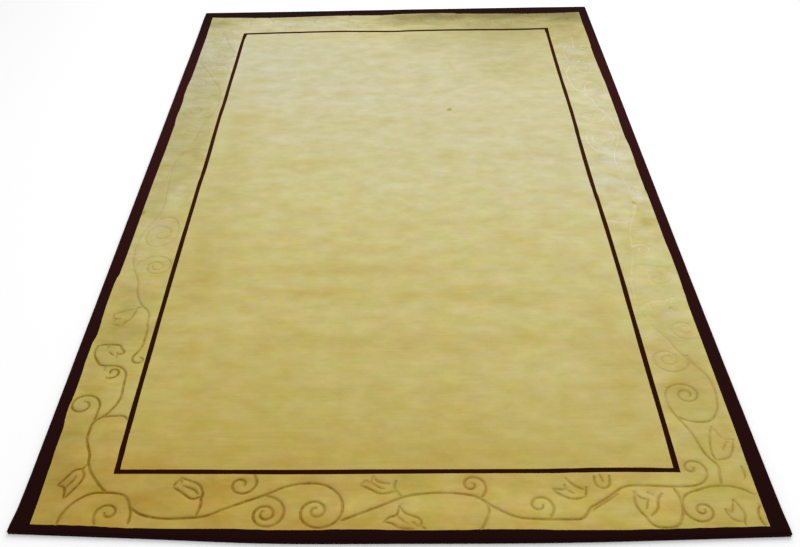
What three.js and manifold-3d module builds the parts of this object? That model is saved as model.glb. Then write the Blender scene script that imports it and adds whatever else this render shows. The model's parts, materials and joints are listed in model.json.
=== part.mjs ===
// Hand-knotted wool rug in one piece, with a scrolling vine of tulips carved into the pile of its border.
// Millimetres, +Z up. It lies flat on z = 0 with its length along Y, and the origin is under its middle.
import * as THREE from 'three';
import Module from 'manifold-3d';

const wasm = await Module();
wasm.setup();

// Driving dimensions
const rugWidth = 1500;
const rugThickness = 12;       // woven ground and clipped pile together
const cornerRadius = 7;
const sideWander = 1.2;        // how far the long sides stray from straight
const sideWaves = 2.5;         // waves of that along a side

// How far each end stands from the origin at its two corners, and how much further at its middle
const ends = {
  near: { left: 1243, right: 1250, bow: 19 },
  far: { left: 1266, right: 1260, bow: 0 },
};
const bowPower = 1.8;          // 2 is a parabola; less is fuller towards the corners

// The rug's edge from the floor up: the selvedge foot, then the pile with its clipped shoulder
const edgeSections = [
  { height: 0, inset: 2.4 },
  { height: 1.6, inset: 0.5 },
  { height: 4, inset: 0.9 },
  { height: 7, inset: 0 },
  { height: 10.2, inset: 1.2 },
  { height: rugThickness, inset: 4.6 },
];
const stepsAlong = { side: 10, end: 12, corner: 2 };

// The carved line: a V cut along each stroke of the drawing
const grooveWidth = 6.5;
const grooveDepths = { vine: 4, branch: 3.75, flower: 3.5, fold: 3.25 };
const clearAbove = 1;          // the cutter stands this far out of the pile
const overrun = 0.6;           // strokes run this far past both their ends, so that neighbours join
const sharpTurn = 150;         // degrees; a stroke that turns more than this is not mitred there
const leastLength = 0.3;       // of any edge along a straight
const turnPerStep = 40;        // degrees
const straightStep = 130;      // a straight stretch has a step for each of these
const handleShare = 0.38;      // how far a line follows the heading of a station, as a share of its stretch

// Lines of one half of the border; the other half is this one turned end for end. Each line runs through
// stations with its place and heading there, in degrees, 0 along +X and 90 along +Y. One with a volute goes on
// from its last station and winds inwards, with hand 1 to the left and -1 to the right, from a radius at its
// start through a turn in degrees.
const lines = [
  { name: 'left corner arch', cut: 'branch', stations: [
    { x: -660, y: -1222, heading: 92 }, { x: -606, y: -1146, heading: 28 },
    { x: -555, y: -1144, heading: -12 }, { x: -524, y: -1178, heading: -75 },
    { x: -523, y: -1222, heading: -92 },
  ] },
  { name: 'left corner curl', cut: 'branch', stations: [
    { x: -595, y: -1222, heading: 92 }, { x: -595, y: -1198, heading: 86 },
  ], volute: { hand: -1, radius: 23, turn: 440 } },
  { name: 'near vine into the great volute', cut: 'vine', stations: [
    { x: -524, y: -1178, heading: -42 }, { x: -486, y: -1200, heading: -8 },
    { x: -388, y: -1203, heading: 3 },
    { x: -286, y: -1159, heading: 25 }, { x: -212, y: -1126, heading: 16 },
    { x: -156, y: -1122, heading: -2 },
  ], volute: { hand: -1, radius: 60, turn: 640 } },
  { name: 'second volute', cut: 'branch', stations: [
    { x: -254, y: -1144, heading: -4 }, { x: -221, y: -1170, heading: -76 },
  ], volute: { hand: -1, radius: 33, turn: 560 } },
  { name: 'near curl', cut: 'branch', stations: [
    { x: -285, y: -1099, heading: -76 }, { x: -292, y: -1138, heading: -144 },
  ], volute: { hand: -1, radius: 23, turn: 400 } },
  { name: 'stem of the second bud', cut: 'branch', stations: [
    { x: -394, y: -1202, heading: 62 }, { x: -384, y: -1172, heading: 96 },
    { x: -391, y: -1152, heading: 124 },
  ] },
  { name: 'near vine into the corner curl', cut: 'vine', stations: [
    { x: -111, y: -1209, heading: 20 }, { x: -48, y: -1186, heading: 20 }, { x: 26, y: -1149, heading: 14 },
    { x: 90, y: -1142, heading: -1 }, { x: 158, y: -1151, heading: -18 },
    { x: 200, y: -1180, heading: -38 },
    { x: 262, y: -1205, heading: -6 }, { x: 356, y: -1207, heading: 6 }, { x: 390, y: -1178, heading: 46 },
    { x: 452, y: -1131, heading: 22 }, { x: 500, y: -1126, heading: 0 }, { x: 596, y: -1124, heading: 4 },
    { x: 632, y: -1094, heading: 88 },
  ], volute: { hand: 1, radius: 23, turn: 460 } },
  { name: 'stem of the middle bud', cut: 'branch', stations: [
    { x: 26, y: -1149, heading: 132 }, { x: 5, y: -1131, heading: 146 },
  ] },
  { name: 'curl on the vine', cut: 'branch', stations: [
    { x: 169, y: -1154, heading: 52 }, { x: 183, y: -1128, heading: 86 },
  ], volute: { hand: 1, radius: 22, turn: 440 } },
  { name: 'tendril to the near edge', cut: 'branch', stations: [
    { x: 176, y: -1160, heading: -50 }, { x: 187, y: -1188, heading: -90 },
    { x: 168, y: -1232, heading: -126 },
  ] },
  { name: 'curl over the vine', cut: 'branch', stations: [
    { x: 308, y: -1208, heading: 76 }, { x: 313, y: -1184, heading: 94 },
  ], volute: { hand: 1, radius: 20, turn: 400 } },
  { name: 'loop at the inner line', cut: 'branch', stations: [
    { x: 404, y: -1099, heading: -96 }, { x: 419, y: -1132, heading: 0 }, { x: 435, y: -1099, heading: 96 },
  ] },
  { name: 'stroke in the loop', cut: 'branch', stations: [
    { x: 421, y: -1099, heading: -94 }, { x: 419, y: -1117, heading: -98 },
  ] },
  { name: 'stem of the open flower', cut: 'branch', stations: [
    { x: 492, y: -1206, heading: -62 }, { x: 524, y: -1231, heading: 2 }, { x: 562, y: -1192, heading: 78 },
    { x: 557, y: -1126, heading: 104 },
  ] },
  { name: 'right corner arch and volute', cut: 'branch', stations: [
    { x: 716, y: -1151, heading: 148 }, { x: 652, y: -1127, heading: 180 },
    { x: 584, y: -1150, heading: 218 },
    { x: 567, y: -1182, heading: 266 },
  ], volute: { hand: 1, radius: 28, turn: 440 } },
  { name: 'tick in the right corner', cut: 'branch', stations: [
    { x: 716, y: -1180, heading: 238 }, { x: 717, y: -1225, heading: 302 },
  ] },
  { name: 'right stem and great volute', cut: 'vine', stations: [
    { x: 654, y: -1127, heading: 88 }, { x: 655, y: -1066, heading: 98 },
    { x: 627, y: -1006, heading: 112 },
    { x: 597, y: -880, heading: 91 },
  ], volute: { hand: -1, radius: 41, turn: 600 } },
  { name: 'right vine', cut: 'branch', stations: [
    { x: 608, y: -942, heading: -52 }, { x: 654, y: -957, heading: 2 }, { x: 700, y: -925, heading: 66 },
    { x: 707, y: -840, heading: 100 }, { x: 660, y: -738, heading: 116 }, { x: 612, y: -630, heading: 111 },
    { x: 598, y: -540, heading: 92 }, { x: 614, y: -410, heading: 76 }, { x: 632, y: -290, heading: 90 },
    { x: 661, y: -186, heading: 62 },
  ] },
  { name: 'right ringed volute', cut: 'branch', stations: [{ x: 665, y: -748, heading: -72 }],
    volute: { hand: -1, radius: 40, turn: 690 } },
  { name: 'right edge volute', cut: 'branch', stations: [
    { x: 717, y: -696, heading: 176 }, { x: 684, y: -691, heading: 180 },
  ], volute: { hand: -1, radius: 31, turn: 560 } },
  { name: 'stem of the right bud', cut: 'branch', stations: [
    { x: 602, y: -588, heading: 74 }, { x: 622, y: -562, heading: 10 },
  ] },
  { name: 'right middle volute', cut: 'branch', stations: [
    { x: 612, y: -418, heading: 52 }, { x: 668, y: -411, heading: -4 },
  ], volute: { hand: -1, radius: 40, turn: 620 } },
  { name: 'right small curl', cut: 'branch', stations: [{ x: 628, y: -330, heading: 62 }],
    volute: { hand: -1, radius: 24, turn: 480 } },
  { name: 'left stem up to the loop', cut: 'vine', stations: [
    { x: -580, y: -1142, heading: 140 }, { x: -638, y: -1074, heading: 122 },
    { x: -650, y: -1012, heading: 106 },
    { x: -657, y: -954, heading: 78 }, { x: -617, y: -886, heading: 76 }, { x: -616, y: -812, heading: 97 },
    { x: -654, y: -769, heading: 176 }, { x: -706, y: -732, heading: 112 },
    { x: -686, y: -696, heading: 2 },
  ] },
  { name: 'left tendril to the inner line', cut: 'branch', stations: [
    { x: -644, y: -934, heading: 40 }, { x: -606, y: -926, heading: -4 },
    { x: -583, y: -943, heading: -58 },
  ] },
  { name: 'left edge volute', cut: 'branch', stations: [
    { x: -657, y: -958, heading: 84 }, { x: -655, y: -894, heading: 94 },
  ], volute: { hand: 1, radius: 34, turn: 560 } },
  { name: 'left small curl', cut: 'branch', stations: [{ x: -657, y: -770, heading: -2 }],
    volute: { hand: -1, radius: 22, turn: 480 } },
  { name: 'left stem down to the hook', cut: 'branch', stations: [
    { x: -626, y: -558, heading: -48 }, { x: -603, y: -612, heading: -82 },
    { x: -600, y: -694, heading: -93 },
    { x: -614, y: -752, heading: -98 },
  ], volute: { hand: 1, radius: 12, turn: 330 } },
  { name: 'left vine across the middle to the inner line', cut: 'vine', stations: [
    { x: -626, y: -558, heading: 124 }, { x: -662, y: -470, heading: 104 },
    { x: -690, y: -388, heading: 102 },
    { x: -702, y: -290, heading: 90 }, { x: -682, y: -192, heading: 70 }, { x: -664, y: -96, heading: 92 },
    { x: -677, y: 112, heading: 90 }, { x: -661, y: 186, heading: 58 }, { x: -618, y: 216, heading: -4 },
    { x: -586, y: 196, heading: -48 },
  ] },
  { name: 'left lower volute', cut: 'branch', stations: [
    { x: -687, y: -402, heading: 80 }, { x: -636, y: -346, heading: 0 },
  ], volute: { hand: -1, radius: 49, turn: 640 } },
  { name: 'left upper volute', cut: 'branch', stations: [
    { x: -671, y: -156, heading: -58 }, { x: -626, y: -196, heading: -50 },
    { x: -600, y: -246, heading: -90 },
  ], volute: { hand: -1, radius: 49, turn: 640 } },
];
const eyeRadius = 7;           // that every volute winds down to

// Tulips that stand on a place and open towards a heading: buds with two tips, open flowers with three
const flowers = [
  { name: 'left corner bud', x: -642, y: -1078, heading: 240, length: 70, width: 38, tips: 2 },
  { name: 'second bud', x: -391, y: -1152, heading: 143, length: 54, width: 34, tips: 2 },
  { name: 'middle bud', x: 4, y: -1131, heading: 167, length: 60, width: 36, tips: 2 },
  { name: 'near edge bud', x: 54, y: -1224, heading: 148, length: 68, width: 38, tips: 2 },
  { name: 'side flower', x: 374, y: -1160, heading: 130, length: 48, width: 50, tips: 3 },
  { name: 'open flower', x: 492, y: -1206, heading: 80, length: 56, width: 52, tips: 3 },
  { name: 'right corner bud', x: 676, y: -1215, heading: 112, length: 50, width: 30, tips: 2 },
  { name: 'right tall bud', x: 662, y: -1060, heading: 64, length: 80, width: 48, tips: 2 },
  { name: 'right bud', x: 622, y: -562, heading: 4, length: 62, width: 40, tips: 2 },
  { name: 'left loop bud', x: -686, y: -697, heading: -32, length: 46, width: 28, tips: 2 },
  { name: 'left bud', x: -630, y: -560, heading: 222, length: 68, width: 40, tips: 2 },
];

// One side of a flower's cup from its foot to its tip, as shares of its length and of half its width
const cupSections = [
  { along: 0, across: 0 },
  { along: 0.05, across: 0.52 },
  { along: 0.24, across: 0.92 },
  { along: 0.56, across: 1 },
  { along: 1, across: 0.86 },
];
// The mouth in the same shares. The line of a flower starts in the valley, and runs by way of the left tip,
// the cup, the right tip and the points of back to the valley again. The fold is a line of its own in the cup.
const mouths = {
  2: { fold: { along: 0.3, across: 0.12 }, foldTop: { along: 0.74, across: 0.05 },
    valley: { along: 0.74, across: 0 }, back: [] },
  3: { fold: { along: 0.32, across: 0.12 }, foldTop: { along: 0.62, across: 0.32 },
    valley: { along: 0.62, across: 0.4 },
    back: [{ along: 0.6, across: -0.4 }, { along: 0.98, across: 0.02 }] },
};
const cupPoints = 4;           // along each side of a cup

const radians = THREE.MathUtils.degToRad;

function direction(heading) {
  return new THREE.Vector3(Math.cos(radians(heading)), Math.sin(radians(heading)), 0);
}

function onPile(x, y) {
  return new THREE.Vector3(x, y, rugThickness);
}

// How far an end of the rug stands from the origin at a place across it
function endDistance(end, x) {
  const u = x / (rugWidth / 2);
  return THREE.MathUtils.lerp(end.left, end.right, (u + 1) / 2) + end.bow * (1 - Math.abs(u) ** bowPower);
}

// The outline of the rug, counterclockwise from the near left corner
function rugOutline() {
  const half = rugWidth / 2;
  const points = [];
  const straight = half - cornerRadius;
  const corner = (cx, cy, from) => {
    for (let i = 0; i <= stepsAlong.corner; i++) {
      const out = direction(from + 90 * i / stepsAlong.corner);
      points.push(out.multiplyScalar(cornerRadius).add(new THREE.Vector3(cx, cy, 0)));
    }
  };
  const side = (sign, fromY, toY) => {
    for (let i = 1; i < stepsAlong.side; i++) {
      const share = i / stepsAlong.side;
      const wander = sideWander * Math.sin(2 * Math.PI * sideWaves * share + sign);
      points.push(new THREE.Vector3(sign * half + wander, THREE.MathUtils.lerp(fromY, toY, share), 0));
    }
  };
  const end = (row, sign) => {
    for (let i = 1; i < stepsAlong.end; i++) {
      const x = sign * THREE.MathUtils.lerp(straight, -straight, i / stepsAlong.end);
      points.push(new THREE.Vector3(x, sign * endDistance(row, x), 0));
    }
  };
  const nearLeft = -endDistance(ends.near, -straight) + cornerRadius;
  const nearRight = -endDistance(ends.near, straight) + cornerRadius;
  const farLeft = endDistance(ends.far, -straight) - cornerRadius;
  const farRight = endDistance(ends.far, straight) - cornerRadius;
  corner(-straight, nearLeft, 180);
  end(ends.near, -1);
  corner(straight, nearRight, 270);
  side(1, nearRight, farRight);
  corner(straight, farRight, 0);
  end(ends.far, 1);
  corner(-straight, farLeft, 90);
  side(-1, farLeft, nearLeft);
  return points;
}

function meshGeometry(positions, faces) {
  const geometry = new THREE.BufferGeometry();
  geometry.setAttribute('position', new THREE.Float32BufferAttribute(positions, 3));
  geometry.setIndex(faces);
  return geometry;
}

// The uncarved rug: one ring of points for each section of its edge, closed flat above and below
function rugSlab() {
  const outline = rugOutline();
  const count = outline.length;
  const inward = outline.map((point, i) => {
    const along = new THREE.Vector3().subVectors(outline[(i + 1) % count], outline[(i + count - 1) % count]);
    return new THREE.Vector3(-along.y, along.x, 0).normalize();
  });
  const positions = edgeSections.flatMap(({ height, inset }) => outline.flatMap((point, i) => {
    const moved = point.clone().addScaledVector(inward[i], inset);
    return [moved.x, moved.y, height];
  }));
  const faces = [];
  for (let row = 0; row < edgeSections.length - 1; row++) {
    for (let i = 0; i < count; i++) {
      const [a, b] = [row * count + i, row * count + (i + 1) % count];
      faces.push(a, b, b + count, a, b + count, a + count);
    }
  }
  const top = (edgeSections.length - 1) * count;
  for (const [a, b, c] of THREE.ShapeUtils.triangulateShape(outline, [])) {
    faces.push(a, c, b, top + a, top + b, top + c);
  }
  return meshGeometry(positions, faces);
}

// The section of the cutter at a point where one straight of a stroke meets the next
function mitre(depth, point, before, after) {
  const section = [
    { across: 0, up: -depth },
    { across: grooveWidth / 2, up: 0 },
    { across: grooveWidth / 2, up: clearAbove },
    { across: -grooveWidth / 2, up: clearAbove },
    { across: -grooveWidth / 2, up: 0 },
  ];
  const middle = new THREE.Vector3().addVectors(before, after).normalize();
  const left = new THREE.Vector3(-middle.y, middle.x, 0).divideScalar(middle.dot(before));
  return section.map(({ across, up }) => point.clone().addScaledVector(left, across)
    .add(new THREE.Vector3(0, 0, up)));
}

// The cutters for the straights of one stroke. Both its ends, and those at a sharp turn, are square
// and run a little past the point; on the inside of a tight turn the mitres are kept apart.
function strokeCutters({ cut, points, closed }) {
  const depth = grooveDepths[cut];
  const ways = points.slice(1).map((to, i) => new THREE.Vector3().subVectors(to, points[i]).normalize());
  const joined = (before, after) => before && after && before.angleTo(after) < radians(sharpTurn);
  return ways.map((way, i) => {
    const before = closed ? ways.at(i - 1) : ways[i - 1];
    const after = closed ? ways[(i + 1) % ways.length] : ways[i + 1];
    const start = joined(before, way) ? mitre(depth, points[i], before, way)
      : mitre(depth, points[i].clone().addScaledVector(way, -overrun), way, way);
    const end = joined(way, after) ? mitre(depth, points[i + 1], way, after)
      : mitre(depth, points[i + 1].clone().addScaledVector(way, overrun), way, way);
    start.forEach((from, corner) => {
      const short = leastLength - new THREE.Vector3().subVectors(end[corner], from).dot(way);
      if (short > 0) {
        from.addScaledVector(way, -short / 2);
        end[corner].addScaledVector(way, short / 2);
      }
    });
    return prism(start, end);
  });
}

// A closed mesh between two rings of points
function prism(start, end) {
  const count = start.length;
  const faces = [];
  for (let i = 0; i < count; i++) {
    const next = (i + 1) % count;
    faces.push(i, next, next + count, i, next + count, i + count);
  }
  for (let i = 1; i < count - 1; i++) {
    faces.push(0, i + 1, i, count, count + i, count + i + 1);
  }
  return meshGeometry([...start, ...end].flatMap((point) => point.toArray()), faces);
}

// The points of a line through its stations
function stemPoints(stations) {
  const points = [onPile(stations[0].x, stations[0].y)];
  for (let i = 1; i < stations.length; i++) {
    const [a, b] = [stations[i - 1], stations[i]];
    const [from, to] = [onPile(a.x, a.y), onPile(b.x, b.y)];
    const length = from.distanceTo(to);
    const reach = length * handleShare;
    const span = new THREE.CubicBezierCurve3(from, from.clone().addScaledVector(direction(a.heading), reach),
      to.clone().addScaledVector(direction(b.heading), -reach), to);
    const turn = Math.abs(THREE.MathUtils.euclideanModulo(b.heading - a.heading + 180, 360) - 180);
    const steps = Math.ceil(turn / turnPerStep + length / straightStep);
    for (let step = 1; step <= steps; step++) {
      points.push(span.getPoint(step / steps));
    }
  }
  return points;
}

// Walks on from a point in equal turns, on chords of the radius that the volute has there
function volutePoints(start, heading, { hand, radius, turn }) {
  const steps = Math.ceil(turn / turnPerStep);
  const stepTurn = turn / steps;
  const points = [];
  let point = start;
  for (let i = 0.5; i < steps; i++) {
    const chord = 2 * THREE.MathUtils.lerp(radius, eyeRadius, i / steps) * Math.sin(radians(stepTurn) / 2);
    point = point.clone().addScaledVector(direction(heading + hand * stepTurn * i), chord);
    points.push(point);
  }
  return points;
}

function lineStroke({ cut, stations, volute }) {
  const stem = stemPoints(stations);
  const winding = volute ? volutePoints(stem.at(-1), stations.at(-1).heading, volute) : [];
  return { cut, points: [...stem, ...winding] };
}

// A flower's closed line round its cup and mouth, and the fold in the cup
function flowerStrokes({ x, y, heading, length, width, tips }) {
  const place = ({ along, across }) => onPile(x, y)
    .addScaledVector(direction(heading), along * length)
    .addScaledVector(direction(heading + 90), across * width / 2);
  const left = cupSections.slice(1).reverse();
  const right = cupSections.map(({ along, across }) => ({ along, across: -across }));
  const cup = new THREE.CatmullRomCurve3([...left, ...right].map(place), false, 'centripetal');
  const { fold, foldTop, valley, back } = mouths[tips];
  return [
    { cut: 'flower', closed: true,
      points: [place(valley), ...cup.getPoints(2 * cupPoints), ...back.map(place), place(valley)] },
    { cut: 'fold', points: [fold, foldTop].map(place) },
  ];
}

// A closed mesh to a solid that can be cut
function toSolid(geometry) {
  return new wasm.Manifold(new wasm.Mesh({
    numProp: 3,
    vertProperties: geometry.attributes.position.array,
    triVerts: new Uint32Array(geometry.index.array),
  }));
}

function carvedRug() {
  const strokes = [...lines.map(lineStroke), ...flowers.flatMap(flowerStrokes)];
  const cutters = [0, Math.PI].flatMap((endForEnd) => strokes.flatMap((stroke) => strokeCutters(stroke)
    .map((geometry) => toSolid(geometry.rotateZ(endForEnd)))));
  const carved = toSolid(rugSlab()).subtract(wasm.Manifold.union(cutters));
  const { vertProperties, triVerts } = carved.getMesh();
  const geometry = meshGeometry(vertProperties, Array.from(triVerts));
  geometry.computeVertexNormals();
  return geometry;
}

const wool = new THREE.MeshStandardMaterial({ color: 0xbfae6c, roughness: 0.95, metalness: 0 });
const rug = new THREE.Mesh(carvedRug(), wool);
rug.name = 'rug';

const part = new THREE.Group();
part.add(rug);

export default part;
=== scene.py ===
import json
import math
import bmesh
import bpy
from mathutils import Matrix, Vector, noise
from mathutils.geometry import interpolate_bezier

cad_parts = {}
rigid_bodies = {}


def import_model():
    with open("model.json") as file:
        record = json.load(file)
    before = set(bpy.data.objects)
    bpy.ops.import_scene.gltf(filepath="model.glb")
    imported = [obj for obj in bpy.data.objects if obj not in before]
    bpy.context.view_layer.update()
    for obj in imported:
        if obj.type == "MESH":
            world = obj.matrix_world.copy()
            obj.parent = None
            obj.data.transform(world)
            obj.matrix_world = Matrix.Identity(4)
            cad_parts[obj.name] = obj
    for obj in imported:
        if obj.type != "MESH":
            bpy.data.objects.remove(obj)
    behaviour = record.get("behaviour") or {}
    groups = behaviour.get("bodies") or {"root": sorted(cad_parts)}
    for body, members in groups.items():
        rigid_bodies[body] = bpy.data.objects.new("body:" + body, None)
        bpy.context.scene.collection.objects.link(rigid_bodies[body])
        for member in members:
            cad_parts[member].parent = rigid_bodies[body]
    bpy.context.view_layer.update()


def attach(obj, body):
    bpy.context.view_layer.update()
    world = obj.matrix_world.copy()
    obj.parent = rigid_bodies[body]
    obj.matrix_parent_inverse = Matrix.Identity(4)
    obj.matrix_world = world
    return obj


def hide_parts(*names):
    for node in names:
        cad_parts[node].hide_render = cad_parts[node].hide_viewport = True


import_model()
scene = bpy.context.scene
scene.view_settings.view_transform = "Standard"
mm = 0.001

# The view, from standing height before the near end, down the rug
eye = {
    "place": (0.01958, -2.34234, 1.50713),  # metres
    "pitch": 0.6924613,  # radians down from level
    "yaw": 0.0429746,
    "roll": -0.0360844,
    "lens": 42.195,
    "sensor": 36,
    "shift": (0.0363, 0.0342),
    "sees": 100,  # metres
}


def addCamera():
    pitch, yaw, roll = eye["pitch"], eye["yaw"], eye["roll"]
    turn = Matrix.Rotation(yaw, 3, "Z")
    forward = turn @ Vector((0, math.cos(pitch), -math.sin(pitch)))
    side = turn @ Vector((1, 0, 0))
    top = turn @ Vector((0, math.sin(pitch), math.cos(pitch)))
    c, s = math.cos(roll), math.sin(roll)
    right, up = c * side + s * top, -s * side + c * top
    matrix = Matrix((right, up, -forward)).transposed().to_4x4()
    matrix.translation = Vector(eye["place"])
    data = bpy.data.cameras.new("photoView")
    data.lens = eye["lens"]
    data.sensor_fit = "HORIZONTAL"
    data.sensor_width = eye["sensor"]
    data.shift_x, data.shift_y = eye["shift"]
    data.clip_end = eye["sees"]
    camera = bpy.data.objects.new("photoView", data)
    scene.collection.objects.link(camera)
    camera.matrix_world = matrix
    scene.camera = camera


addCamera()
print("camera placed")

# The rug as it lies, in millimetres
rug = {
    "width": 1506,
    "length": 2520,
    "thick": 12,
    "cell": 12.5,  # of the pile's mesh before it is carved
    "left": [(-1258, 5.0), (-1200, 0.3), (-960, -0.3), (-720, 0.1), (-480, 0.4), (-240, 1.1), (0, 1.5),
             (240, 1.7), (480, 2.2), (720, 2.6), (960, 2.5), (1200, 4.4)],
    "right": [(-1258, 4.0), (-1200, 1.9), (-960, 1.1), (-720, -0.1), (-480, -0.5), (-240, -0.5), (0, -0.3),
              (240, -0.1), (480, 0.4), (720, 0.5), (960, 0.3), (1200, 0.8)],
    "near": [(-750, 1235.5), (-480, 1247.5), (-240, 1258), (0, 1258.5), (340, 1256), (750, 1242.5)],
    "far": [(-750, 1279.5), (-600, 1277), (-300, 1276), (0, 1276.5), (300, 1275.5), (750, 1272.5)],
    "shoulder": 5.0,  # the flat of the pile begins this far in
    "rim": [  # how far in and how high, from the shoulder down to the floor
        (2.4, 11.5), (0.9, 10.0), (0.2, 7.6), (0.9, 5.2), (1.4, 4.0), (0.4, 2.8), (0.7, 1.2), (2.2, 0.0),
    ],
    "cornerReach": 0.9,  # how far the rim goes out at a corner, of what it does at a side
    "swell": 0.45,  # up and down
    "swellSize": (130, 81.25),  # of its rises, across and along
    "swellFrom": (4, 10),  # heights between which it sets in
}


def clamped(value, low, high):  # how far a value has come from low to high, 0 to 1
    return min(max((value - low) / (high - low), 0), 1)


def onCurve(table, at):  # a smooth line through a short table of places
    at = min(max(at, table[0][0]), table[-1][0])
    k = next(i for i in range(1, len(table)) if at <= table[i][0])
    slopes = []
    for i in (k - 1, k):
        a, b = table[max(i - 1, 0)], table[min(i + 1, len(table) - 1)]
        slopes.append((b[1] - a[1]) / (b[0] - a[0]))
    (x0, y0), (x1, y1) = table[k - 1], table[k]
    span = x1 - x0
    t = (at - x0) / span
    return ((2 * t ** 3 - 3 * t ** 2 + 1) * y0 + (t ** 3 - 2 * t ** 2 + t) * span * slopes[0]
            + (3 * t ** 2 - 2 * t ** 3) * y1 + (t ** 3 - t ** 2) * span * slopes[1])


def sidePlace(sign, y):  # the sides stray outwards by what their tables say
    return sign * (rug["width"] / 2 + onCurve(rug["left" if sign < 0 else "right"], y))


def makePile():  # the uncarved rug: a grid for the pile, run over its shoulder and down to the floor
    bm = bmesh.new()
    across = round(rug["width"] / rug["cell"])
    down = round(rug["length"] / rug["cell"])
    bmesh.ops.create_grid(bm, x_segments=across, y_segments=down, size=1)
    layers = bm.verts.layers.float_vector
    outward, flat = layers.new("outward"), layers.new("flat")
    for vert in bm.verts:
        u, v = vert.co.x, vert.co.y  # -1 to 1 over the grid
        y = v * rug["length"] / 2
        left, right = sidePlace(-1, y) + rug["shoulder"], sidePlace(1, y) - rug["shoulder"]
        x = left + (right - left) * (u + 1) / 2
        near, far = rug["shoulder"] - onCurve(rug["near"], x), onCurve(rug["far"], x) - rug["shoulder"]
        vert.co = Vector((x, near + (far - near) * (v + 1) / 2, rug["thick"])) * mm
        edge = Vector((int(round(u, 4)), int(round(v, 4)), 0))
        vert[outward] = edge * (rug["cornerReach"] if edge.x and edge.y else 1.0)
        vert[flat] = vert.co
    ring = [e for e in bm.edges if e.is_boundary]
    for inset, height in rug["rim"]:
        made = bmesh.ops.extrude_edge_only(bm, edges=ring)["geom"]
        ring = [g for g in made if isinstance(g, bmesh.types.BMEdge) and g.is_boundary]
        for vert in {v for e in ring for v in e.verts}:
            vert.co = vert[flat] + vert[outward] * (rug["shoulder"] - inset) * mm
            vert.co.z = height * mm
    bmesh.ops.contextual_create(bm, geom=ring)
    bmesh.ops.recalc_face_normals(bm, faces=bm.faces)
    for name in ("outward", "flat"):
        layers.remove(layers[name])
    return bm


# The lines carved into the pile, in millimetres and degrees; presses are shares of the full depth
carving = {
    "depth": {"vine": 4.0, "branch": 3.75, "flower": 3.5, "fold": 3.2},
    "section": [(0.0, -1.0), (0.36, -0.78), (0.62, -0.33), (1.07, 0.07)],  # of half the groove
    "halfWidth": 5.0,
    "above": 2.0,  # how far the knife stands over the pile
    "step": 9.0,
    "markStep": 7.0,
    "turnStep": 15.0,
    "corner": 65,  # a sharper one parts a line in two
    "handleShare": 0.38,  # of the way between two stations
    "taper": 9.0,  # over which a line comes up at its ends
    "taperPress": (0.55, 0.45),  # its depth at the end, and what it gains by there
    "pressLeft": [(-1260, 1.0), (-760, 0.92), (-560, 0.8), (-380, 0.6), (-150, 0.48), (120, 0.42),
                  (1260, 0.42)],
    "pressRight": [(-1260, 0.95), (-1000, 0.85), (-760, 0.66), (-560, 0.52), (-380, 0.44), (0, 0.4),
                   (1260, 0.42)],
    "pressSides": (-450, 150),  # from the left table to the right one
    "waver": 0.5,  # of the hand that carved it
    "waverSize": 34.0,
    "pressWaver": 0.16,
    "pressWaverSize": 20.0,
}
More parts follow.
